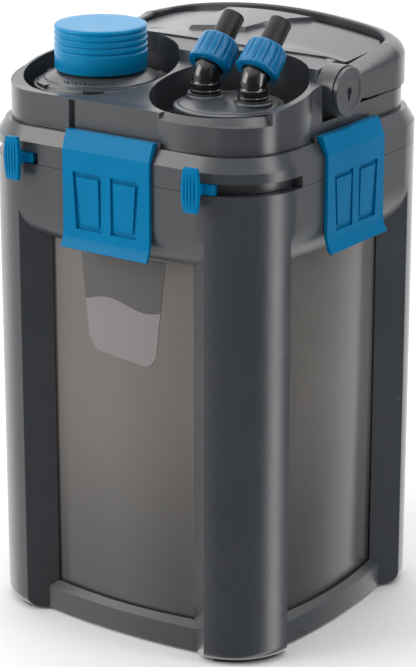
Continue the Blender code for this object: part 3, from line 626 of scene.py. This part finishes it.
def make_motor_cover():
    cover = column("rear_lid", outline(LEDGE_INSET + 0.5, steps=24), REAR_WALL_TOP + GAP, 440)
    combine(cover, box("front", (-150, 150), (-150, 4.5), (390, 450)))
    combine(cover, dome_block(), "INTERSECT")
    inside = column("inside", outline(LEDGE_INSET + 3.5), 390, 440)
    combine(inside, box("front", (-150, 150), (-150, 7.5), (380, 450)))
    combine(inside, dome_block(3.0), "INTERSECT")
    combine(cover, inside)
    panel = [(-34, 29), (7, 37), (11, 57), (22, 75), (34, 88), (-44, 91)]
    mx, my = PANEL_MIDDLE
    raised = loft("panel", [at([(mx + k * (x - mx), my + k * (y - my)) for x, y in panel], z)
                            for k, z in ((1.18, 411), (0.82, 427))])
    combine(raised, dome_block(-2.6), "INTERSECT")
    combine(raised, dome_block(1.5))
    combine(cover, raised, "UNION")
    return done(cover, "head", COVER, ["motor_cover"], 1.2, 4, 24)


# ---------------------------------------------------------------- clips, levers, handle

def clip_profile(face):
    out, z = CLIP_AXIS
    barrel = arc(-(face + out), z, BARREL_R, 90, -60, 12)
    outer = [(CLIP_REACH, 289.0), (5.0, 292.5), (3.6, 296.5), (3.0, 301.0), (3.0, 358.0),
             (-2.0, z + BARREL_R)]
    inner = [(-5.35, RIM_TOP + GAP), (0.3, 357.4), (0.3, 301.0), (2.6, 292.0), (5.4, 288.2)]
    return [(-(face + o), h) for o, h in outer] + barrel + [(-(face + o), h) for o, h in inner]


def clip_pad(side, face):
    """Raised parallelogram in a clip's recess, leaning in towards its foot."""
    low, high = (306.0, 339.5)
    top = sorted((side * 6.2, side * 25.2))
    foot = sorted((side * 6.6, side * 22.0))
    rows = []
    for z, (x0, x1), depth in ((low, foot, 2.1), (high, top, 2.9)):
        out, back = -face - depth, -face - 0.6
        rows.append([(x0, out, z), (x1, out, z), (x1, back, z), (x0, back, z)])
    return loft("pad", rows)


def make_clip(side_name, turn):
    face = side_face(turn)
    clip = along_x(f"clip_body_{side_name}", clip_profile(face), -CLIP_HALF, CLIP_HALF)
    recess = [[(-25.5, z0, 302.5), (25.5, z0, 302.5), (28.0, z0, 343.0), (-28.0, z0, 343.0)]
              for z0 in (-face - 9, -face - 0.9)]
    combine(clip, loft("recess", recess))
    for side in (-1, 1):
        combine(clip, clip_pad(side, face), "UNION")
    bar = [[(-4.0, y, 302), (4.0, y, 302), (4.0, y, 343.4), (-4.0, y, 343.4)]
           for y in (-face - 2.75, -face - 0.6)]
    combine(clip, loft("bar", bar), "UNION")
    quarter_turn(clip, turn)
    combine(clip, pin_rod(turn, PIN_R + 0.1, CLIP_HALF + 9))
    return done(clip, f"clip_{side_name}", BLUE, [f"clip_{side_name}"], 0.55, 3, 15)


def make_clip_pin(side_name, turn):
    pin = pin_rod(turn, PIN_R, CLIP_HALF + 3.4, f"pin_{side_name}")
    return done(pin, "head", STEEL, [f"clip_pin_{side_name}"], 0.2, 2)


def make_lever(side_name, side):
    centre = corner_centre(1)
    span = (LEVER_REST - LEVER_SPAN, LEVER_REST + LEVER_SPAN + 3)
    z = (RIM_Z0 + 0.2, 349.6)
    lever = ring_sector(f"thumb_lever_{side_name}", LEVER_R, span, z, centre, 24)
    neck = ring_sector("neck", (LEVER_R[1] - 3, LEVER_PLATE_R[0] + 1),
                       (LEVER_REST - 4, LEVER_REST + 4), z, centre, 6)
    combine(lever, neck, "UNION")
    rows = []
    for k in range(17):
        s = -1 + k / 8
        half = 6.2 * (1 - 0.22 * s * s)
        swell = 1 - s * s
        outer = arc(*centre, LEVER_PLATE_R[1] - 0.9 + 0.9 * swell,
                    LEVER_REST - half, LEVER_REST + half, 12)
        inner = arc(*centre, LEVER_PLATE_R[0], LEVER_REST + half, LEVER_REST - half, 12)
        low, high = LEVER_PLATE_Z
        rows.append(at(outer + inner, low + (s + 1) / 2 * (high - low)))
    combine(lever, loft("plate", rows), "UNION")
    for k in range(4):
        a = LEVER_REST - 3.6 + 2.4 * k
        groove = ring_sector("groove", (LEVER_PLATE_R[1] - 0.7, 70), (a - 0.45, a + 0.45),
                             (325, 370), centre, 1)
        combine(lever, groove)
    if side < 0:
        mirror_x(lever)
    return done(lever, f"lever_{side_name}", BLUE, [f"release_lever_{side_name}"], 0.35, 2, 30)


def handle_path(inset):
    """Plan line of the bail, from the front of the right arm round the back to the left one."""
    x, y, r = HALF_X - inset, HALF_Y - inset, CORNER_R - inset
    cx, cy = HALF_X - CORNER_R, HALF_Y - CORNER_R
    arm = [(x, HANDLE_Y0 + (cy - HANDLE_Y0) * k / 16) for k in range(16)]
    half = arm + arc(cx, cy, r, 0, 90, 20) + [(cx * (1 - k / 16), y) for k in range(1, 17)]
    return half + [(-px, py) for px, py in half[-2::-1]]


def bail_crest(x, y):
    """Height of the inner top edge: rising along the arms, arched across the back."""
    return 406 + 0.1455 * (y - 23) if y <= HALF_Y - CORNER_R else 425 - 0.00112 * x * x


def bail_crease(x, y):
    """Height where the upright outer face turns into the rounded top."""
    rise = min(max((y - HANDLE_Y0) / 60, 0), 1)
    return bail_crest(x, y) - 4.2 - 6.3 * rise


def bail_foot(y):
    return 386 - 2 * min((y - HANDLE_Y0) / 16, 1) + 8 * max(0.0, (y - 86) / 29)


def make_handle():
    far = HANDLE_INSET + HANDLE_WIDTH
    shoulder = [(HANDLE_INSET + (HANDLE_WIDTH - 1) * (1 - math.cos(t)), math.sin(t))
                for t in (math.radians(90 * k / 8) for k in range(9))]
    inner = handle_path(far)
    lines = [[(x, y, bail_foot(by)) for (x, y), (_, by) in zip(handle_path(HANDLE_INSET), inner)]]
    for inset, up in shoulder:
        lines.append([(x, y, bail_crease(bx, by) + up * (bail_crest(bx, by) - bail_crease(bx, by)))
                      for (x, y), (bx, by) in zip(handle_path(inset), inner)])
    lines.append([(x, y, bail_crest(x, y) - 1.2) for x, y in inner])
    lines.append([(x, y, bail_foot(y)) for x, y in inner])
    handle = loft("bail_handle", [list(section) for section in zip(*lines)])
    for side in (-1, 1):
        x = sorted((side * HUB_X[0], side * HUB_X[1]))
        combine(handle, x_cylinder("hub", HUB_R, *HANDLE_AXIS, *x, 96), "UNION")
        arm = sorted((side * HUB_X[0], side * (HALF_X - HANDLE_INSET)))
        web = [(-5, 390), (20, 385.3), (20, 402.0), (-5, 410)]
        combine(handle, along_x("web", web, *arm), "UNION")
    for side in (-1, 1):
        x = sorted((side * 95, side * 130))
        combine(handle, x_cylinder("bore", BOLT_R, *HANDLE_AXIS, *x))
    return done(handle, "handle", CHARCOAL, ["carry_handle"], 0.9, 3, 34)


def make_bolt(side_name, side):
    head = sorted((side * (HUB_X[1] + GAP), side * BOLT_OUT))
    shank = sorted((side * 99.2, side * 120))
    bolt = x_cylinder(f"hub_bolt_{side_name}", 17.0, *HANDLE_AXIS, *head, 96)
    combine(bolt, x_cylinder("shank", 4.1, *HANDLE_AXIS, *shank), "UNION")
    dish = sorted((side * 121.1, side * 130))
    combine(bolt, x_cylinder("dish", 13.6, *HANDLE_AXIS, *dish, 64))
    slot = sorted((side * 119.2, side * 130))
    combine(bolt, x_cylinder("socket", 3.4, *HANDLE_AXIS, *slot, 6))
    y, z = HANDLE_AXIS
    key = box("key", slot, (y - 1.2, y + 1.2), (z - 6.2, z + 2))
    combine(bolt, key)
    return done(bolt, "head", CHARCOAL, [f"handle_bolt_{side_name}"], 0.5, 3)


# ---------------------------------------------------------------- prefilter

def make_knob():
    lo, hi = KNOB_LO.z, KNOB_HI.z
    profile = [(30.0, lo), (KNOB_R - 0.5, lo), (KNOB_R, lo + 0.6)]
    for z in (412.0, 416.5, 421.0, 425.5):
        for s in range(9):
            t = s / 8
            profile.append((KNOB_R - 1.1 * math.sin(math.pi * t) ** 0.7, z + 2.8 * t))
    profile += arc(KNOB_R - 1.8, hi - 1.8, 1.8, 0, 90, 6)
    profile += [(24, hi - 0.05), (12, hi - 0.1), (0.6, hi - 0.15), (0.6, 426.5), (30.0, 426.5)]
    knob = lathe("turning_knob", KNOB_AT, profile, 144, ring=True)
    combine(knob, cylinder("plug", KNOB_AT, 2, 426.5, hi - 0.15), "UNION")
    return done(knob, "knob", KNOB_BLUE_PAINTED_LIGHT, ["prefilter_knob"], 0.0, 0, 40)


def make_flange():
    profile = [(34.3, 381.5), (34.3, 377.0), (36.3, 377.0), (36.3, 383.0), (47.4, 384.3), (48.0, 385.0),
               (48.0, 388.6), (47.3, 389.2), (45.2, 389.5), (44.8, 390.6), (44.0, 391.2), (40.5, 392.4),
               (40.2, 393.4), (39.4, 393.9), (36.0, 395.6), (32.0, 397.3), (29.4, 398.2), (28.6, 399.0),
               (28.6, 420.0), (26.0, 420.0), (26.0, 397.0), (34.3, 392.5)]
    flange = lathe("prefilter_top", KNOB_AT, profile, 144, ring=True)
    for a in (-120, -60, -8, 52, 112, 176):
        lug = ring_sector("lug", (41.5, 46.8), (a - 9, a + 9), (386, 391.9), KNOB_AT, 12)
        combine(flange, lug, "UNION")
    for k in range(9):
        a = -96 + 5 * k
        radii = (37.2, 39.2 if k % 2 else 38.4)
        tick = ring_sector("tick", radii, (a, a + 1.3), (393, 395.6), KNOB_AT, 2)
        combine(flange, tick, "UNION")
    return done(flange, "prefilter", CHARCOAL, ["prefilter_flange"], 0.3, 2, 35)


# ---------------------------------------------------------------- hose unit

def port_at(side):
    return (HOSE_AT[0] + side * PORT_DX, HOSE_AT[1])


def make_plate():
    profile = [(40.0, WELL_FLOOR + GAP), (40.0, 377.2), (39.4, 378.2), (38.5, 379.5), (38.5, 386.8),
               (38.2, 387.9), (37.2, 388.5), (35.0, 388.7), (34.4, 389.3), (31.0, 390.2), (15.0, 392.0),
               (3.0, 392.4)]
    plate = lathe("port_plate", HOSE_AT, profile, 144)
    for side in (-1, 1):
        rise = [(13.6, 380), (13.6, 391.8), (12.5, 392.8), (12.5, 394.0)]
        boss = lathe("boss", port_at(side), rise, 96)
        combine(plate, boss, "UNION")
    for side in (-1, 1):
        combine(plate, cylinder("bore", port_at(side), 8.3, 360, 400))
    return done(plate, "head", CHARCOAL, ["hose_unit_plate"], 0.4, 2, 30)


def bend_frames(spans):
    stations = []
    for s in spans:
        if s <= 0:
            stations.append((Vector((0, 0, BEND_Z + s)), 0.0))
        elif s <= ARC_LENGTH:
            a = s / BEND_R
            stations.append((Vector((0, BEND_R * (1 - math.cos(a)), BEND_Z + BEND_R * math.sin(a))), a))
        else:
            a = BEND_ANGLE
            end = Vector((0, BEND_R * (1 - math.cos(a)), BEND_Z + BEND_R * math.sin(a)))
            stations.append((end + (s - ARC_LENGTH) * Vector((0, math.sin(a), math.cos(a))), a))
    return stations


def tube(name, centre, stations, steps=64):
    """Swept tube; each station is (path length, radius)."""
    rows = []
    for (place, tilt), (_, r) in zip(bend_frames([s for s, _ in stations]), stations):
        across, back = Vector((1, 0, 0)), Vector((0, math.cos(tilt), -math.sin(tilt)))
        rows.append([Vector((*centre, 0)) + place + r * (math.cos(t) * across + math.sin(t) * back)
                     for t in (2 * math.pi * k / steps for k in range(steps))])
    return loft(name, rows, ring=True)


def make_elbow(side_name, side):
    bends = [ARC_LENGTH * k / 16 for k in range(17)]
    low, high = COLLAR_Z
    collar = [(low, 8.0), (low, COLLAR_R - 0.4), (low + 0.4, COLLAR_R), (low + 1.6, COLLAR_R),
              (low + 2.0, COLLAR_R - 0.4), (high - 0.4, COLLAR_R - 0.4), (high, COLLAR_R - 0.8),
              (high + 0.4, ELBOW_R)]
    outer = [(382 - BEND_Z, 8.0)] + [(z - BEND_Z, r) for z, r in collar]
    outer += [(s, ELBOW_R) for s in bends] + [(ARC_LENGTH + 8, ELBOW_R)]
    inner = [(ARC_LENGTH + 8, ELBOW_BORE)] + [(s, ELBOW_BORE) for s in bends[::-1]]
    inner += [(382 - BEND_Z, ELBOW_BORE)]
    elbow = tube(f"hose_elbow_{side_name}", port_at(side), outer + inner)
    return done(elbow, f"elbow_{side_name}", WELL_BLACK, [f"elbow_{side_name}"], 0.0, 0, 40)


def make_tail(side_name, side):
    s0, s1 = (ARC_LENGTH + s for s in TAIL_S)
    rows = [(s0, TAIL_R), (s1 - 1.0, TAIL_R), (s1 - 0.3, TAIL_R - 0.2), (s1, TAIL_R - 0.7),
            (s1, TAIL_BORE + 0.5), (s1 - 0.5, TAIL_BORE), (s0, TAIL_BORE)]
    tail = tube(f"hose_spigot_{side_name}", port_at(side), rows)
    return done(tail, f"elbow_{side_name}", HOSE, [f"hose_tail_{side_name}"], 0.0, 0, 40)


def nut_radius(base, k, steps_per_rib, depth):
    """Radius at station k of a ribbed rim: wide rounded ribs with narrow valleys."""
    u = (k % steps_per_rib) / steps_per_rib
    return base - depth * (1 - math.sin(math.pi * u) ** 0.35)


def make_nut(side_name, side):
    start, length, ribs, per = NUT_S[0], NUT_S[1] - NUT_S[0], 14, 12
    profile = [(14.6, 0, 0), (15.2, 0.3, 0), (15.6, 1.0, 0.1), (15.6, 2.4, 0.25), (15.3, 3.4, 1.0),
               (14.9, 10.0, 1.1), (14.4, length - 3.4, 1.1), (14.1, length - 2.4, 0.8),
               (13.8, length - 1.2, 0.3),
               (13.2, length - 0.4, 0.05), (12.5, length, 0), (8.9, length, 0), (8.9, length - 2.5, 0),
               (10.4, length - 2.5, 0), (10.4, 0, 0)]
    rows = []
    for r, z, depth in profile:
        ring = []
        for k in range(ribs * per):
            turn = 2 * math.pi * k / (ribs * per)
            ribbed = nut_radius(r, k, per, depth)
            ring.append((ribbed * math.cos(turn), ribbed * math.sin(turn), z))
        rows.append(ring)
    nut = loft(f"ribbed_nut_{side_name}", rows, ring=True)
    place, _ = bend_frames([ARC_LENGTH + start])[0]
    nut.data.transform(Matrix.Translation(Vector((*port_at(side), 0)) + place)
                       @ Matrix.Rotation(-BEND_ANGLE, 4, "X"))
    return done(nut, f"nut_{side_name}", NUT_BLUE, [f"union_nut_{side_name}"], 0.0, 0, 38)


def ribbon(name, path, z0, z1, thickness):
    """Upright strip of metal along a plan path."""
    left, right = [], []
    for k, p in enumerate(path):
        a, b = path[max(k - 1, 0)], path[min(k + 1, len(path) - 1)]
        dx, dy = b[0] - a[0], b[1] - a[1]
        size = math.hypot(dx, dy) or 1.0
        nx, ny = -dy / size * thickness / 2, dx / size * thickness / 2
        left.append((p[0] + nx, p[1] + ny))
        right.append((p[0] - nx, p[1] - ny))
    return column(name, left + right[::-1], z0, z1)


def make_retainer(side_name, side):
    x, y = port_at(side)
    band = arc(x, y, RETAINER_R, -50, 230, 64)
    end = math.radians(-50)
    ex, ey = x + RETAINER_R * math.cos(end), y + RETAINER_R * math.sin(end)
    curl_a = [(ex + CURL_R * math.sin(a), ey - CURL_R * (1 - math.cos(a)))
              for a in (math.radians(k) for k in range(0, 200, 20))]
    curl_b = [(2 * x - px, py) for px, py in curl_a]
    path = curl_a[::-1] + band[1:-1] + curl_b
    clip = ribbon(f"elbow_clip_{side_name}", path, 395.9, 398.7, 0.8)
    ring = ring_sector("ring", (COLLAR_R + GAP, 13.2), (-48, 228), (395.8, 396.6), (x, y), 48)
    combine(clip, ring, "UNION")
    return done(clip, f"elbow_{side_name}", WELL_BLACK, [f"elbow_retainer_{side_name}"], 0.15, 2)


# ---------------------------------------------------------------- small carried-over pieces

def dress(node, finish):
    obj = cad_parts[node]
    obj.data.materials.clear()
    obj.data.materials.append(finish)


def dress_cad():
    finishes = {"head_seal": RUBBER, "cable_gland": RUBBER, "prefilter_cage": HOSE, "prefilter_foam": FOAM,
                "prefilter_seal": RUBBER, "motor_housing": HOSE, "motor_end_cap": HOSE, "pump_cover": HOSE,
                "bearing_bush_lower": RUBBER, "bearing_bush_upper": RUBBER, "rotor_magnet": MAGNET,
                "impeller": CERAMIC, "pump_shaft": CERAMIC}
    for k in range(1, 5):
        finishes[f"filter_tray_{k}"] = TRAY
        finishes[f"filter_foam_{k}"] = FOAM
    for node, finish in finishes.items():
        dress(node, finish)


# ---------------------------------------------------------------- stage

def around(azimuth, distance, height):
    """A place in metres, azimuth degrees from the front towards the right."""
    a = math.radians(azimuth)
    return (distance * math.sin(a), -distance * math.cos(a), height)


def light(name, place, aim, size, power, colour=(1, 1, 1)):
    data = bpy.data.lights.new(name, "AREA")
    data.shape = "RECTANGLE"
    data.size, data.size_y = size
    data.energy = power
    data.color = colour
    lamp = bpy.data.objects.new(name, data)
    lamp.location = place
    lamp.rotation_euler = (Vector(aim) - Vector(place)).to_track_quat("-Z", "Y").to_euler()
    lamp.visible_camera = False
    bpy.context.scene.collection.objects.link(lamp)


def make_floor():
    mesh = bpy.data.meshes.new("floor")
    mesh.from_pydata([(-6, -6, 0), (6, -6, 0), (6, 6, 0), (-6, 6, 0)], [], [(0, 1, 2, 3)])
    floor = bpy.data.objects.new("floor", mesh)
    bpy.context.scene.collection.objects.link(floor)
    floor.location.z = -0.0002
    mat = bpy.data.materials.new("floor_white")
    mat.use_nodes = True
    shader = mat.node_tree.nodes["Principled BSDF"]
    shader.inputs["Base Color"].default_value = (0.85, 0.85, 0.85, 1)
    shader.inputs["Roughness"].default_value = 0.8
    floor.data.materials.append(mat)
    floor.visible_glossy = False


# soft panels round the studio: azimuth from the front towards the right, half widths of the full
# and of the faded part in degrees, brightness
PANELS = ((101, 4, 15, 5.2), (-70, 12, 45, 1.0), (-28, 6, 26, 0.70), (150, 6, 26, 0.22),
          (214, 35, 75, 1.5))
AMBIENT = 0.10
DIFFUSE_SHARE = 0.35                # how much of the panels reaches surfaces as soft light
OVERHEAD = (0.42, 0.78, 0.95)       # sine of the elevation where it starts and is full, brightness


def panel_node(tree, flat, azimuth, full, faded, strength):
    """Brightness of one panel, from the cosine of the angle to its middle."""
    a = math.radians(azimuth)
    near = tree.nodes.new("ShaderNodeVectorMath")
    near.operation = "DOT_PRODUCT"
    near.inputs[1].default_value = (math.sin(a), -math.cos(a), 0)
    tree.links.new(flat, near.inputs[0])
    fade = tree.nodes.new("ShaderNodeMapRange")
    fade.interpolation_type = "SMOOTHSTEP"
    fade.inputs["From Min"].default_value = math.cos(math.radians(faded))
    fade.inputs["From Max"].default_value = math.cos(math.radians(full))
    fade.inputs["To Max"].default_value = strength
    tree.links.new(near.outputs["Value"], fade.inputs["Value"])
    return fade.outputs["Result"]


def add_node(tree, a, b):
    total = tree.nodes.new("ShaderNodeMath")
    total.operation = "ADD"
    tree.links.new(a, total.inputs[0])
    if hasattr(b, "node"):
        tree.links.new(b, total.inputs[1])
    else:
        total.inputs[1].default_value = b
    return total.outputs[0]


def make_world():
    world = bpy.data.worlds.new("studio")
    bpy.context.scene.world = world
    world.use_nodes = True
    world.cycles.sampling_method = "NONE"
    tree = world.node_tree
    back = tree.nodes["Background"]
    back.inputs["Color"].default_value = (1, 1, 1, 1)
    direction = tree.nodes.new("ShaderNodeTexCoord").outputs["Generated"]
    level = tree.nodes.new("ShaderNodeVectorMath")
    level.operation = "MULTIPLY"
    level.inputs[1].default_value = (1, 1, 0)
    tree.links.new(direction, level.inputs[0])
    flat = tree.nodes.new("ShaderNodeVectorMath")
    flat.operation = "NORMALIZE"
    tree.links.new(level.outputs["Vector"], flat.inputs[0])
    seen = tree.nodes.new("ShaderNodeLightPath")
    share = tree.nodes.new("ShaderNodeMapRange")
    share.inputs["To Min"].default_value = DIFFUSE_SHARE
    tree.links.new(seen.outputs["Is Glossy Ray"], share.inputs["Value"])
    total = 0.0
    for panel in PANELS:
        total = add_node(tree, panel_node(tree, flat.outputs["Vector"], *panel), total)
    weigh = tree.nodes.new("ShaderNodeMath")
    weigh.operation = "MULTIPLY"
    tree.links.new(total, weigh.inputs[0])
    tree.links.new(share.outputs["Result"], weigh.inputs[1])
    total = add_node(tree, weigh.outputs[0], AMBIENT)
    split = tree.nodes.new("ShaderNodeSeparateXYZ")
    tree.links.new(direction, split.inputs["Vector"])
    above = tree.nodes.new("ShaderNodeMapRange")
    above.interpolation_type = "SMOOTHSTEP"
    for name, value in zip(("From Min", "From Max", "To Max"), OVERHEAD):
        above.inputs[name].default_value = value
    tree.links.new(split.outputs["Z"], above.inputs["Value"])
    total = add_node(tree, above.outputs["Result"], total)
    pick = tree.nodes.new("ShaderNodeMix")
    tree.links.new(seen.outputs["Is Camera Ray"], pick.inputs["Factor"])
    tree.links.new(total, pick.inputs["A"])
    pick.inputs["B"].default_value = 1.0
    tree.links.new(pick.outputs["Result"], back.inputs["Strength"])
    bpy.context.scene.view_settings.view_transform = "Standard"


def make_camera():
    data = bpy.data.cameras.new("camera")
    data.lens = 138.86
    cam = bpy.data.objects.new("camera", data)
    place = Vector((1024.4, -1469.5, 794.6)) + SHIFT
    aim = Vector((0, 0, 197.7)) + SHIFT
    cam.location = place * MM
    cam.rotation_euler = (aim - place).to_track_quat("-Z", "Y").to_euler()
    bpy.context.scene.collection.objects.link(cam)
    bpy.context.scene.camera = cam


# ---------------------------------------------------------------- build

SIDES = ("front", "right", "rear", "left")
CORNERS = {"front_right": (1, -1), "front_left": (-1, -1), "rear_right": (1, 1), "rear_left": (-1, 1)}

make_camera()
make_world()
make_floor()
light("key", around(-42, 1.9, 1.1), (0, 0, 0.25), (1.3, 1.2), 26, (1, 0.95, 0.89))
light("fill", around(75, 2.2, 1.0), (0, 0, 0.25), (0.8, 1.2), 1.2, (0.80, 0.90, 1))
light("top", around(200, 0.8, 2.2), (0, 0, 0.35), (1.4, 1.4), 7)
make_frame()
make_tank()
make_label()
for corner, (sx, sy) in CORNERS.items():
    make_foot(corner, sx, sy)
make_rim()
make_cover()
make_motor_cover()
for turn, side_name in enumerate(SIDES):
    make_clip(side_name, turn)
    make_clip_pin(side_name, turn)
make_handle()
make_knob()
make_flange()
make_plate()
for side_name, side in (("left", -1), ("right", 1)):
    make_lever(side_name, side)
    make_bolt(side_name, side)
    make_elbow(side_name, side)
    make_tail(side_name, side)
    make_nut(side_name, side)
    make_retainer(side_name, side)
dress_cad()
